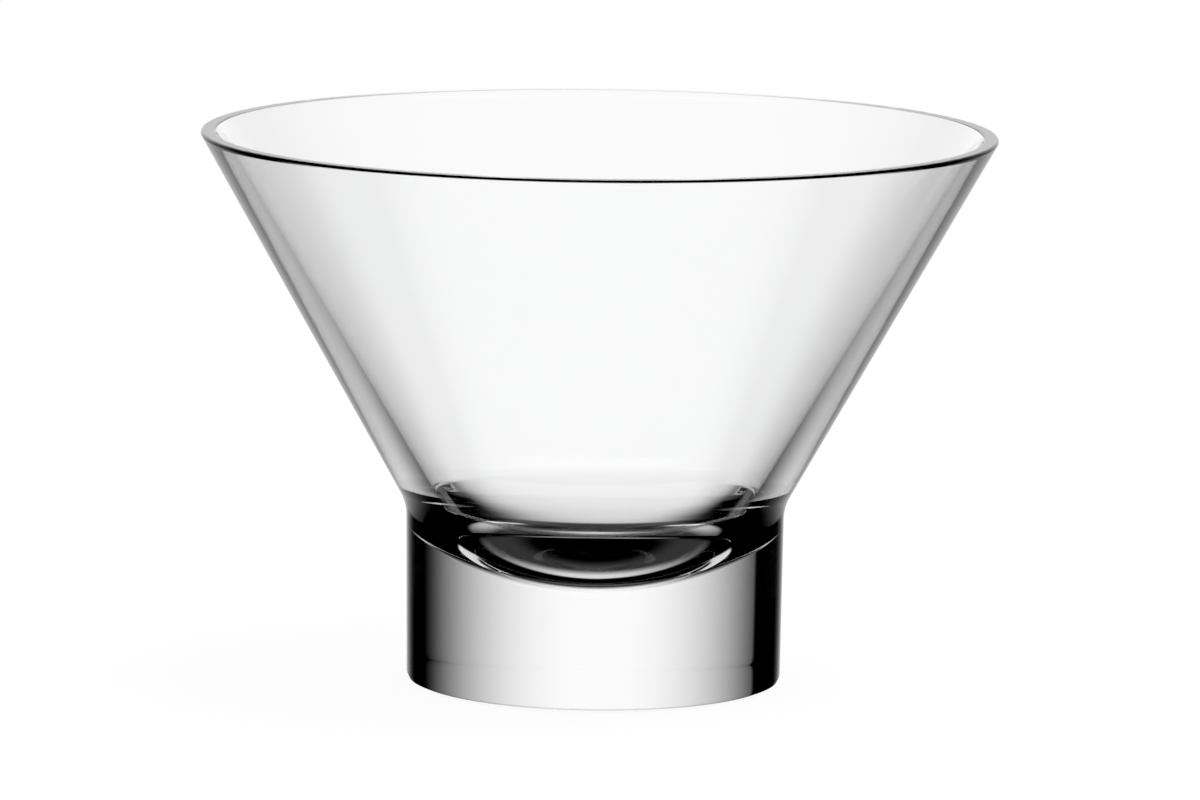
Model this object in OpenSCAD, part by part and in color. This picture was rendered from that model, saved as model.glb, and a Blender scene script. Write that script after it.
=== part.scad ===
// Ice cream glass: a cone-shaped bowl of clear glass, fused to a solid round foot.
// Sizes are in millimetres. The glass stands on Z = 0 with its axis on Z.

/* [Foot] */
// Diameter of the foot where its side would meet the table
foot_base_diameter = 58.7; // [54:0.1:59.3]
// Diameter of the foot where its side would meet the bowl's side
foot_top_diameter = 59.3; // [58.7:0.1:62]
// Height at which the foot's side would meet the bowl's side
foot_height = 28; // [26:0.5:32]
// Radius of the rounding along the foot's bottom edge
foot_edge_radius = 1.2; // [0.6:0.1:1.8]
// Radius of the hollow curve between foot and bowl
neck_radius = 8; // [5:0.5:12]

/* [Bowl] */
// Height of the whole glass
glass_height = 86.5; // [80:0.5:96]
// Outer diameter of the rim
rim_diameter = 125; // [118:0.5:136]
// Width of the rim across the wall
rim_wall = 2.5; // [2:0.1:3.5]
// Radius of the rounding along the rim's outer edge
rim_outer_edge_radius = 0.4; // [0.3:0.1:0.8]
// Radius of the rounding along the rim's inner edge
rim_inner_edge_radius = 0.6; // [0.3:0.1:0.9]
// Radius of the round inside bottom
inside_round_radius = 30; // [26:0.5:31]
// Glass below the lowest point of the inside
floor_thickness = 15.6; // [13:0.1:18]
// Distance of the fused seam below the start of the neck's curve
seam_drop = 1; // [0.5:0.1:3]

/* [Hidden] */
$fn = 180;

glass_colour = [0.90, 0.93, 0.93, 0.4];
foot_colour = [0.84, 0.88, 0.88, 0.5];

// Outer outline, as points of radius and height
foot_base = [foot_base_diameter / 2, 0];
neck_corner = [foot_top_diameter / 2, foot_height];
rim_outer = [rim_diameter / 2, glass_height];

// Inside outline: a straight wall that runs smoothly into the round bottom
rim_inner = [rim_outer[0] - rim_wall, glass_height];
round_centre = [0, floor_thickness + inside_round_radius];
rim_reach = norm(rim_inner - round_centre);
rim_bearing = atan2(rim_inner[1] - round_centre[1], rim_inner[0] - round_centre[0]);
wall_bearing = rim_bearing - acos(inside_round_radius / rim_reach);
wall_start = round_centre + inside_round_radius * [cos(wall_bearing), sin(wall_bearing)];

// The bowl's round underside sits in the dished top of the foot and ends a little below the neck's curve
neck_half_angle = corner_half_angle(foot_base - neck_corner, rim_outer - neck_corner);
neck_side = neck_radius / tan(neck_half_angle);
seat_edge = neck_corner + (neck_side + seam_drop) * unit(foot_base - neck_corner);
seat_radius = norm(seat_edge - round_centre);

// How far a rounding reaches across the sides that it joins, so that they meet cleanly
blend_overlap = 0.002;

function unit(v) = v / norm(v);
function corner_half_angle(u, v) = acos(unit(u) * unit(v)) / 2;

// The piece round a corner that lies outside the circle that rounds it, with the corner's sides along u and v
module corner_piece(corner, u, v, radius) {
  half = corner_half_angle(u, v);
  side = radius / tan(half);
  to_centre = radius / sin(half) * unit(unit(u) + unit(v));
  difference() {
    polygon([corner - to_centre, corner + side * unit(u), corner + to_centre, corner + side * unit(v)]);
    translate(corner + to_centre) circle(radius + blend_overlap);
  }
}

// Outside of the whole glass
module outer_outline() {
  difference() {
    union() {
      polygon([[0, 0], foot_base, neck_corner, rim_outer, [0, glass_height]]);
      corner_piece(neck_corner, foot_base - neck_corner, rim_outer - neck_corner, neck_radius);
    }
    corner_piece(foot_base, [-1, 0], neck_corner - foot_base, foot_edge_radius);
    corner_piece(rim_outer, [-1, 0], neck_corner - rim_outer, rim_outer_edge_radius);
  }
}

// Space inside the bowl
module inside_outline() {
  polygon([round_centre, wall_start, rim_inner, [0, glass_height]]);
  translate(round_centre) circle(inside_round_radius);
  corner_piece(rim_inner, [1, 0], wall_start - rim_inner, rim_inner_edge_radius);
}

// Everything above the round seat
module above_seat() {
  translate(round_centre) circle(seat_radius);
  translate([0, foot_height]) square([rim_outer[0], glass_height - foot_height]);
}

// The half of the plane that is turned about the axis
module turning_half() {
  square([rim_outer[0], glass_height]);
}

// Cone-shaped cup with a round bottom
module bowl() {
  color(glass_colour)
    rotate_extrude()
      difference() {
        intersection() {
          outer_outline();
          above_seat();
          turning_half();
        }
        inside_outline();
      }
}

// Solid block under the bowl, dished for its round bottom
module foot() {
  color(foot_colour)
    rotate_extrude()
      difference() {
        outer_outline();
        above_seat();
      }
}

bowl();
foot();
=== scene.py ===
import math

import bpy
from mathutils import Matrix, Vector


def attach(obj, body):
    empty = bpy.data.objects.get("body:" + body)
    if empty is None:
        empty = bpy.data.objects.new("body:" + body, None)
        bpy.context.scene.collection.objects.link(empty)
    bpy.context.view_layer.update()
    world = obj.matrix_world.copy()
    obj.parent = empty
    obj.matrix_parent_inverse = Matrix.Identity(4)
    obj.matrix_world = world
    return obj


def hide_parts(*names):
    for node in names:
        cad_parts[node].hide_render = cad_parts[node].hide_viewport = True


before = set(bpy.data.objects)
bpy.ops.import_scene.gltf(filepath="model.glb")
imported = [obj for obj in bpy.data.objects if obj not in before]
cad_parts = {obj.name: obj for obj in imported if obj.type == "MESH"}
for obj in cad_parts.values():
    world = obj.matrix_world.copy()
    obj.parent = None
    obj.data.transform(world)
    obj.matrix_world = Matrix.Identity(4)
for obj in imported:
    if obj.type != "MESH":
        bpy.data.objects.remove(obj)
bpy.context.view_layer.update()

mm = 0.001
scene = bpy.context.scene
print("frame loaded:", ", ".join(sorted(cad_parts)))


# a shader socket that takes part in sums
class Link:
    def __init__(self, socket):
        self.socket = socket

    def maths(self, operation, *values):
        node = self.socket.id_data.nodes.new("ShaderNodeMath")
        node.operation = operation
        for spot, value in zip(node.inputs, values):
            plug(spot, value)
        return Link(node.outputs[0])

    def __add__(self, other):
        return self.maths("ADD", self, other)

    def __radd__(self, other):
        return self.maths("ADD", other, self)

    def __sub__(self, other):
        return self.maths("SUBTRACT", self, other)

    def __rsub__(self, other):
        return self.maths("SUBTRACT", other, self)

    def __mul__(self, other):
        return self.maths("MULTIPLY", self, other)

    def __rmul__(self, other):
        return self.maths("MULTIPLY", other, self)

    def __neg__(self):
        return self.maths("MULTIPLY", self, -1.0)

    def __abs__(self):
        return self.maths("ABSOLUTE", self)

    def wrap(self, low, high):
        return self.maths("WRAP", self, high, low)

    def least(self, other):
        return self.maths("MINIMUM", self, other)

    def most(self, other):
        return self.maths("MAXIMUM", self, other)


def plug(spot, value):
    if isinstance(value, Link):
        spot.id_data.links.new(value.socket, spot)
    else:
        spot.default_value = value


# the nodes of one material or of the world
class Shader:
    def __init__(self, owner):
        owner.use_nodes = True
        self.tree = owner.node_tree
        self.tree.nodes.clear()

    def node(self, kind, settings=None, inputs=None, output=0):
        node = self.tree.nodes.new(kind)
        for name, value in (settings or {}).items():
            setattr(node, name, value)
        for name, value in (inputs or {}).items():
            plug(node.inputs[name], value)
        return Link(node.outputs[output]) if node.outputs else node

    def ease(self, value, low, high, start=0.0, end=1.0):
        return self.node("ShaderNodeMapRange", {"interpolation_type": "SMOOTHSTEP"},
                         {"Value": value, "From Min": low, "From Max": high, "To Min": start, "To Max": end})

    def parts(self, spot):
        return [self.node("ShaderNodeSeparateXYZ", inputs={0: spot}, output=axis) for axis in "XYZ"]

    def scaled(self, spot, scale):
        return self.node("ShaderNodeVectorMath", {"operation": "MULTIPLY"}, {0: spot, 1: scale})

    # place on the piece, and distance from the axis, in mm
    def place(self, scale=(1, 1, 1)):
        spot = self.node("ShaderNodeTexCoord", output="Object")
        return self.scaled(spot, [part / mm for part in scale])

    def fromAxis(self):
        flat = self.place((1, 1, 0))
        return self.node("ShaderNodeVectorMath", {"operation": "LENGTH"}, {0: flat}, output="Value")

    def noise(self, spot, size, detail):
        return self.node("ShaderNodeTexNoise", inputs={"Vector": spot, "Scale": 1 / size, "Detail": detail})

    def blend(self, factor, first, second):
        return self.node("ShaderNodeMix", {"data_type": "RGBA"},
                         {"Factor": factor, 6: first, 7: second}, output=2)

    def path(self, name):
        return self.node("ShaderNodeLightPath", output=name)


# an outline for the lathe is a list of stretches, and a stretch is a list of points:
# radius and height in mm, and the outward normal
def straight(start, end, steps=1):
    along = (end - start).normalized()
    normal = (along.y, -along.x)
    return [(*start.lerp(end, k / steps), *normal) for k in range(steps + 1)]


def curved(centre, radius, start, end, steps, side=1):
    points = []
    for k in range(steps + 1):
        angle = start + (end - start) * k / steps
        way = Vector((math.cos(angle), math.sin(angle)))
        points.append((*(centre + radius * way), *(side * way)))
    return points


def bearing(way):
    return math.atan2(way.y, way.x)


# a circle that rounds a corner: its centre, and where it meets the sides towards before and after
def rounding(corner, before, after, radius):
    u, v = (before - corner).normalized(), (after - corner).normalized()
    half = math.acos(u.dot(v)) / 2
    centre = corner + radius / math.sin(half) * (u + v).normalized()
    side = radius / math.tan(half)
    return centre, corner + side * u, corner + side * v


def lathe(name, stretches, seamStretch, materials, turns):
    nearby = 1e-5  # mm
    angles = [2 * math.pi * k / turns for k in range(turns)]
    compass = [(math.cos(angle), math.sin(angle)) for angle in angles]
    rings, spots = [], []
    verts, faces, slots, normals = [], [], [], []

    def ring(radius, height):
        if rings and (spots[-1] - Vector((radius, height))).length < nearby:
            return len(rings) - 1
        first = len(verts)
        if radius < nearby:
            verts.append((0, 0, height * mm))
            rings.append([first] * turns)
        else:
            verts.extend((radius * mm * x, radius * mm * y, height * mm) for x, y in compass)
            rings.append(list(range(first, first + turns)))
        spots.append(Vector((radius, height)))
        return len(rings) - 1

    for number, stretch in enumerate(stretches):
        rows = [ring(point[0], point[1]) for point in stretch]
        for k in range(len(rows) - 1):
            low, high = rings[rows[k]], rings[rows[k + 1]]
            for a in range(turns):
                b = (a + 1) % turns
                corners = [(low[a], a, k), (low[b], b, k), (high[b], b, k + 1), (high[a], a, k + 1)]
                if low[a] == low[b]:
                    corners.pop(1)
                elif high[a] == high[b]:
                    corners.pop(2)
                faces.append([corner[0] for corner in corners])
                slots.append(1 if number == seamStretch else 0)
                for _, turn, row in corners:
                    x, y = compass[turn]
                    across, up = stretch[row][2:]
                    normals.append((across * x, across * y, up))
    mesh = bpy.data.meshes.new(name)
    mesh.from_pydata(verts, [], faces)
    for material in materials:
        mesh.materials.append(material)
    mesh.polygons.foreach_set("material_index", slots)
    mesh.polygons.foreach_set("use_smooth", [True] * len(faces))
    mesh.normals_split_custom_set(normals)
    piece = bpy.data.objects.new(name, mesh)
    scene.collection.objects.link(piece)
    return piece


# clear colourless glass, lengths in mm
glassFinish = {
    "refraction": 1.51,
    "palest": (1.0, 1.0, 1.0, 1),
    "deepest": (0.988, 0.993, 0.992, 1),
    "cloudSize": 26,       # slow changes of tone
    "cloudDetail": 3,
    "waveLength": 17,      # slow waves in the surface
    "waveHeight": 0.004,
    "waveDetail": 1,
    "streakSpacing": 1.3,  # level tooling streaks at the neck
    "streakLength": 60,
    "streakHeight": 0.0022,
    "streakDetail": 2,
    "streakZone": (15, 21, 30, 35),  # heights where they begin, are full, fade and end
    "streakRadius": (27, 28.5),      # only outside of this
    "polish": (0.0, 0.012),          # least and most roughness
    "polishFrom": (0.35, 1.2),
    "paintedEdgeShade": (0.54, 0.55, 0.55, 1),  # painted shade: thin grey line along the foot's bottom edge, on its outside face only, in place of the dark line that the rounded edge would refract
    "lineZone": (0.25, 0.55),           # heights where it is full and where it ends
    "lineRadius": (27.8, 28.2),         # only outside of this
}


def makeGlass(finish):
    material = bpy.data.materials.new("clearGlass")
    shader = Shader(material)
    spot, out = shader.place(), shader.fromAxis()
    z = shader.parts(spot)[2]
    waves = shader.noise(spot, finish["waveLength"], finish["waveDetail"])
    along, across = 1 / finish["streakLength"], 1 / finish["streakSpacing"]
    streaks = shader.noise(shader.scaled(spot, (along, along, across)), 1, finish["streakDetail"])
    begin, full, fade, end = finish["streakZone"]
    zone = shader.ease(z, begin, full) * (1 - shader.ease(z, fade, end))
    streaks = streaks * (zone * shader.ease(out, *finish["streakRadius"]))
    height = waves * finish["waveHeight"] + streaks * finish["streakHeight"]
    relief = shader.node("ShaderNodeBump", inputs={"Strength": 1.0, "Distance": mm, "Height": height})
    clouds = shader.noise(spot, finish["cloudSize"], finish["cloudDetail"])
    outside = 1 - shader.node("ShaderNodeNewGeometry", output="Backfacing")
    # painted shade: the grey edge line is mixed into the glass colour low on the foot's rounded edge, on the
    # outside face only
    line = (1 - shader.ease(z, *finish["lineZone"])) * shader.ease(out, *finish["lineRadius"]) * outside
    tone = shader.blend(line, shader.blend(clouds, finish["palest"], finish["deepest"]), finish["paintedEdgeShade"])
    dull = shader.ease(clouds + streaks, *finish["polishFrom"], *finish["polish"])
    glass = shader.node("ShaderNodeBsdfPrincipled", inputs={
        "Base Color": tone, "Roughness": dull, "Normal": relief,
        "IOR": finish["refraction"], "Transmission Weight": 1.0})
    shader.node("ShaderNodeOutputMaterial", inputs={"Surface": glass})
    return material


# bowl and foot are one glass where they are fused, so light goes straight through the seat
def makeSeam():
    material = bpy.data.materials.new("fusedSeat")
    shader = Shader(material)
    through = shader.node("ShaderNodeBsdfTransparent")
    shader.node("ShaderNodeOutputMaterial", inputs={"Surface": through})
    return material


clearGlass, fusedSeat = makeGlass(glassFinish), makeSeam()
print("glass made")

# sizes in mm
footSizes = {
    "baseDiameter": 58.7,
    "topDiameter": 59.3,
    "height": 28.0,
    "neckRadius": 8.0,
    "edgeRadius": 1.2,
    "turns": 300,
}
bowlSizes = {
    "height": 86.5,
    "rimDiameter": 125.0,
    "rimWall": 2.5,
    "rimOuterEdge": 0.4,
    "rimInnerEdge": 0.6,
    "roundRadius": 30.0,
    "floorThickness": 15.6,
    "seamDrop": 1.0,
    "turns": 300,
}
# faces along each stretch of the outline
outlineSteps = {
    "seat": 24,
    "neck": 16,
    "wall": 8,
    "rim": 2,
    "rimEdge": 12,
    "round": 56,
    "side": 4,
    "footEdge": 2,
}


def glassOutline(foot, bowl, steps):
    footBase = Vector((foot["baseDiameter"] / 2, 0))
    neckCorner = Vector((foot["topDiameter"] / 2, foot["height"]))
    rimOuter = Vector((bowl["rimDiameter"] / 2, bowl["height"]))
    rimInner = rimOuter - Vector((bowl["rimWall"], 0))
    roundCentre = Vector((0, bowl["floorThickness"] + bowl["roundRadius"]))
    toRim = rimInner - roundCentre
    wallBearing = bearing(toRim) - math.acos(bowl["roundRadius"] / toRim.length)
    wallStart = roundCentre + bowl["roundRadius"] * Vector((math.cos(wallBearing), math.sin(wallBearing)))
    neckCentre, neckLow, neckHigh = rounding(neckCorner, footBase, rimOuter, foot["neckRadius"])
    edgeCentre, edgeLow, edgeHigh = rounding(footBase, Vector((0, 0)), neckCorner, foot["edgeRadius"])
    seatEdge = neckLow + bowl["seamDrop"] * (footBase - neckCorner).normalized()
    seatRadius = (seatEdge - roundCentre).length
    outerCentre, outerLow, outerHigh = rounding(rimOuter, neckCorner, rimInner, bowl["rimOuterEdge"])
    innerCentre, innerHigh, innerLow = rounding(rimInner, rimOuter, wallStart, bowl["rimInnerEdge"])
    down = -math.pi / 2

    def arc(centre, start, end, count, side):
        startBearing, endBearing = bearing(start - centre), bearing(end - centre)
        return curved(centre, (start - centre).length, startBearing, endBearing, count, side)

    seatBearing = bearing(seatEdge - roundCentre)
    bowlStretches = [
        curved(roundCentre, seatRadius, down, seatBearing, steps["seat"]),
        straight(seatEdge, neckLow),
        arc(neckCentre, neckLow, neckHigh, steps["neck"], -1),
        straight(neckHigh, outerLow, steps["wall"]),
        arc(outerCentre, outerLow, outerHigh, steps["rimEdge"], 1),
        straight(outerHigh, innerHigh, steps["rim"]),
        arc(innerCentre, innerHigh, innerLow, steps["rimEdge"], 1),
        straight(innerLow, wallStart, steps["wall"]),
        curved(roundCentre, bowl["roundRadius"], wallBearing, down, steps["round"], -1),
    ]
    # the edge is shaded like the side, so that its far part isn't a dark stripe across the foot
    side = straight(edgeHigh, seatEdge, steps["side"])
    edge = arc(edgeCentre, edgeLow, edgeHigh, steps["footEdge"], 1)
    edge = [(*point[:2], *side[0][2:]) for point in edge]
    footStretches = [
        straight(Vector((0, 0)), edgeLow, steps["side"]),
        edge,
        side,
        curved(roundCentre, seatRadius, seatBearing, down, steps["seat"], -1),
    ]
    return bowlStretches, footStretches


bowlStretches, footStretches = glassOutline(footSizes, bowlSizes, outlineSteps)
bowlPiece = lathe("bowlGlass", bowlStretches, 0, [clearGlass, fusedSeat], bowlSizes["turns"])
footPiece = lathe("footGlass", footStretches, 3, [clearGlass, fusedSeat], footSizes["turns"])
for piece, node in ((bowlPiece, "bowl"), (footPiece, "foot")):
    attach(piece, "root")
    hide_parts(node)
print("bowl and foot turned")

# camera at the photograph's viewing angle
cameraSetup = {
    "azimuth": 225,
    "distance": 1.3542,
    "height": 0.2437,
    "pitch": 0.1462,
    "yaw": 0.0004,
    "roll": 0.0125,
    "lens": 262.08,
    "reach": 100,
}


def makeCamera(setup):
    data = bpy.data.cameras.new("camera")
    data.lens = setup["lens"]
    data.clip_end = setup["reach"]
    camera = bpy.data.objects.new("camera", data)
    scene.collection.objects.link(camera)
    camera.matrix_world = (
        Matrix.Rotation(math.radians(setup["azimuth"]), 4, "Z")
        @ Matrix.Translation((0, -setup["distance"], setup["height"]))
        @ Matrix.Rotation(-setup["yaw"], 4, "Z")
        @ Matrix.Rotation(math.pi / 2 - setup["pitch"], 4, "X")
        @ Matrix.Rotation(setup["roll"], 4, "Z"))
    scene.camera = camera


makeCamera(cameraSetup)

# the studio is laid out by direction, as the glass shows it; angles are in degrees, sideways from straight
# behind the glass in the main view, or up from the horizon; pairs give where a change starts and ends
studioSetup = {
    "plainLight": 0.8,       # on plain surfaces
    "twoWalls": (2.4, 3.6),  # crossings that tell two walls of the bowl from one
}


# direction of the light, and how the glass sent it there
class Way:
    def __init__(self, shader, azimuth, setup):
        self.shader = shader
        isGlossy, isThrough = shader.path("Is Glossy Ray"), shader.path("Is Transmission Ray")
        self.byGlass = isGlossy.most(isThrough)
        self.mirrored = (isGlossy - isThrough).most(0.0)  # off the outside of the glass
        self.bounces, self.crossings = shader.path("Glossy Depth"), shader.path("Transmission Depth")
        self.reflected = self.bounces.least(1.0)
        self.direct = 1 - self.reflected
        self.twoWalls = shader.ease(self.crossings, *setup["twoWalls"])
        x, y, z = shader.parts(shader.node("ShaderNodeTexCoord", output="Generated"))
        self.level = z.maths("ARCSINE", z) * math.degrees(1)
        compass = x.maths("ARCTAN2", x, y) * math.degrees(1)
        self.turn = (compass + azimuth).wrap(-180, 180)        # from straight behind the glass
        self.back = (compass + azimuth + 180).wrap(-180, 180)  # from straight in front of it

    # bright between two levels
    def levels(self, low, high):
        return self.shader.ease(self.level, *low) * (1 - self.shader.ease(self.level, *high))


# pale screen behind the glass, darker towards its sides
backScreen = {
    "light": 1.05,
    "middle": -1,
    "fade": (4, 57),
    "cut": (46.5, 49),        # end of one side
    "narrowing": (-20, 0.7),  # level below which it narrows, and degrees for each degree of level
    "steepNarrowing": (-34, 0.25),  # the same for direct light, more towards the sides
    "dip": 5,                 # narrowing of direct light over these levels
    "dipLevels": (-24, -10),
    "low": (-48.5, -38.5),
    "high": (40, 65),
    "bounces": (2.4, 3.4),    # dark after this many reflections
    "cornerSides": (10, 20),  # dark upper corners, through two walls
    "cornerLevels": (-8.8, -7),
    "cornerTilt": 0.55,
    "cards": 0.72,            # dark cards at both sides, seen off the outside of the glass
    "cardSides": (8.5, 35),
    "cardMiddle": -9.3,
    "cardHeight": (2.5, 4.5),
    "dimBelow": 0.3,          # and less light from below
    "dimLevels": (-12, 0),
}


def lightScreen(way, setup):
    shader, level = way.shader, way.level
    off = abs(way.turn - setup["middle"])
    narrowBelow, narrow = setup["narrowing"]
    steepBelow, steep = setup["steepNarrowing"]
    wider = off + (narrowBelow - level).most(0.0) * narrow
    wider = wider + way.direct * (steepBelow - level).most(0.0) * steep * off
    wider = wider + way.direct * shader.ease(level, *setup["dipLevels"], setup["dip"], 0.0)
    screen = (1 - shader.ease(wider, *setup["fade"])) * (1 - shader.ease(-way.turn, *setup["cut"]))
    screen = screen * way.levels(setup["low"], setup["high"])
    corners = shader.ease(level - off * setup["cornerTilt"], *setup["cornerLevels"])
    corners = corners * shader.ease(off, *setup["cornerSides"])
    screen = screen * (1 - corners * way.twoWalls) * setup["light"]
    cards = shader.ease(off, *setup["cardSides"]) * setup["cards"]
    cards = cards * (1 - shader.ease(abs(level - setup["cardMiddle"]), *setup["cardHeight"]))
    cards = cards + setup["dimBelow"] * (1 - shader.ease(level, *setup["dimLevels"]))
    return screen * (1 - way.mirrored * cards) * (1 - shader.ease(way.bounces, *setup["bounces"]))


# pale table at both sides
sideTable = {
    "light": 0.8,
    "sides": (46, 60, 112, 125),  # where it begins, is full, fades and ends
    "low": (-56, -46),
    "high": (-17.5, -9.6),
}


def lightTable(way, setup):
    begin, full, fade, end = setup["sides"]
    table = way.shader.ease(abs(way.turn), begin, full) * (1 - way.shader.ease(abs(way.turn), fade, end))
    return table * way.levels(setup["low"], setup["high"]) * setup["light"]


# wide screen on the main camera's side, for views from behind
wideScreen = {
    "light": 1.05,
    "fade": (40, 78),
    "low": (-55, -42),
    "high": (28, 42),
    "bounces": (1.2, 1.8),   # dark after this many reflections
    "holeSides": (24, 34),   # dark place round the main camera, in reflections
    "holeMiddle": -10,
    "holeHeight": (3.5, 6),
}


def lightWide(way, setup):
    shader = way.shader
    wide = (1 - shader.ease(abs(way.back), *setup["fade"])) * way.levels(setup["low"], setup["high"])
    hole = 1 - shader.ease(abs(way.level - setup["holeMiddle"]), *setup["holeHeight"])
    hole = hole * (1 - shader.ease(abs(way.back), *setup["holeSides"])) * way.reflected
    return wide * (1 - hole) * (1 - shader.ease(way.bounces, *setup["bounces"])) * setup["light"]


# white floor steeply below, left out of direct light through two walls
steepFloor = {"light": 0.8, "high": (-58, -48)}


def lightFloor(way, setup):
    floor = (1 - way.shader.ease(way.level, *setup["high"])) * setup["light"]
    return floor * (1 - way.direct * way.twoWalls)


# what light meets that left the glass through its underside
underFoot = {
    "light": (0.75, 0.13),  # at the middle, in front and behind, and at the sides
    "sides": 26,
    "low": (-47, -30),
    "high": (-20.5, -14.5),
    "bend": 0.5,            # the high end comes down towards the sides
    "glow": 0.035,          # faint light all round
    "glowLow": (-66, -52),
    "bottom": 0.85,         # seen from above through the bowl
    "bottomCrossings": (3.4, 4.4),
    "bottomHigh": (-30, -15),
}


def lightUnder(way, setup):
    shader, level = way.shader, way.level
    near = abs(way.turn).least(abs(way.back))
    under = shader.ease(near, 0.0, setup["sides"], *setup["light"]) * shader.ease(level, *setup["low"])
    under = under.most(shader.ease(level, *setup["glowLow"], 0.0, setup["glow"]))
    under = under * (1 - shader.ease(level + near * setup["bend"], *setup["high"]))
    bottom = way.direct * (1 - shader.ease(way.crossings, *setup["bottomCrossings"])) * setup["bottom"]
    return under.most(bottom * (1 - shader.ease(level, *setup["bottomHigh"])))


def makeWorld(setup, azimuth):
    scene.world = bpy.data.worlds.new("studio")
    shader = Shader(scene.world)
    way = Way(shader, azimuth, setup)
    sides = lightTable(way, sideTable).most(lightWide(way, wideScreen))
    around = lightScreen(way, backScreen) + sides * (1 - way.mirrored)
    around = around.most(lightFloor(way, steepFloor))
    fromBelow = way.crossings.maths("MODULO", way.crossings, 2.0)  # odd, because of the film
    around = fromBelow * lightUnder(way, underFoot) + (1 - fromBelow) * around
    strength = way.byGlass * around + (1 - way.byGlass) * setup["plainLight"]
    isCamera = shader.path("Is Camera Ray")
    strength = isCamera + (1 - isCamera) * strength
    light = shader.node("ShaderNodeBackground", inputs={"Color": (1, 1, 1, 1), "Strength": strength})
    shader.node("ShaderNodeOutputWorld", inputs={"Surface": light})


makeWorld(studioSetup, cameraSetup["azimuth"])


def disc(name, radius, height, material):
    sides = 96
    angles = [2 * math.pi * k / sides for k in range(sides)]
    points = [(radius * math.cos(angle), radius * math.sin(angle), height) for angle in angles]
    mesh = bpy.data.meshes.new(name)
    mesh.from_pydata(points, [], [list(range(sides))])
    mesh.materials.append(material)
    piece = bpy.data.objects.new(name, mesh)
    scene.collection.objects.link(piece)
    return piece


# white floor that keeps a faint shadow and runs out into the white around it
floorSetup = {
    "radius": 0.9,
    "height": -0.0002,
    "glow": 0.93,
    "colour": (0.09, 0.09, 0.09, 1),
    "fade": (250, 800),  # mm
}


def makeFloor(setup):
    material = bpy.data.materials.new("whiteFloor")
    shader = Shader(material)
    far = shader.ease(shader.fromAxis(), *setup["fade"])
    glow = shader.node("ShaderNodeEmission", inputs={"Color": (1, 1, 1, 1), "Strength": setup["glow"]})
    matt = shader.node("ShaderNodeBsdfDiffuse", inputs={"Color": setup["colour"]})
    white = shader.node("ShaderNodeEmission", inputs={"Color": (1, 1, 1, 1), "Strength": 1.0})
    near = shader.node("ShaderNodeAddShader", inputs={0: glow, 1: matt})
    both = shader.node("ShaderNodeMixShader", inputs={0: far, 1: near, 2: white})
    shader.node("ShaderNodeOutputMaterial", inputs={"Surface": both})
    floor = disc("floor", setup["radius"], setup["height"], material)
    floor.visible_glossy = False
    floor.visible_transmission = False
    floor.visible_diffuse = False


makeFloor(floorSetup)

# clear film under the foot: it bends no light, and marks what leaves the glass through its underside
filmSetup = {"radius": 0.0282, "height": -0.00005}


def makeFilm(setup):
    material = bpy.data.materials.new("clearFilm")
    shader = Shader(material)
    clear = shader.node("ShaderNodeBsdfRefraction", inputs={"Roughness": 0.0, "IOR": 1.0})
    shader.node("ShaderNodeOutputMaterial", inputs={"Surface": clear})
    piece = disc("film", setup["radius"], setup["height"], material)
    piece.visible_camera = False
    piece.visible_diffuse = False
    piece.visible_glossy = False
    piece.visible_shadow = False


makeFilm(filmSetup)

# one large soft lamp overhead
lampSetup = {"size": 0.8, "place": (-0.25, -0.2, 1.1), "power": 6.0}


def makeLamp(setup):
    data = bpy.data.lights.new("softLamp", "AREA")
    data.shape = "DISK"
    data.size = setup["size"]
    data.energy = setup["power"]
    lamp = bpy.data.objects.new("softLamp", data)
    scene.collection.objects.link(lamp)
    lamp.location = setup["place"]
    lamp.rotation_euler = (-Vector(setup["place"])).to_track_quat("-Z", "Y").to_euler()
    lamp.visible_glossy = False
    lamp.visible_transmission = False
    lamp.visible_camera = False


makeLamp(lampSetup)
scene.view_settings.view_transform = "Standard"
print("studio set")
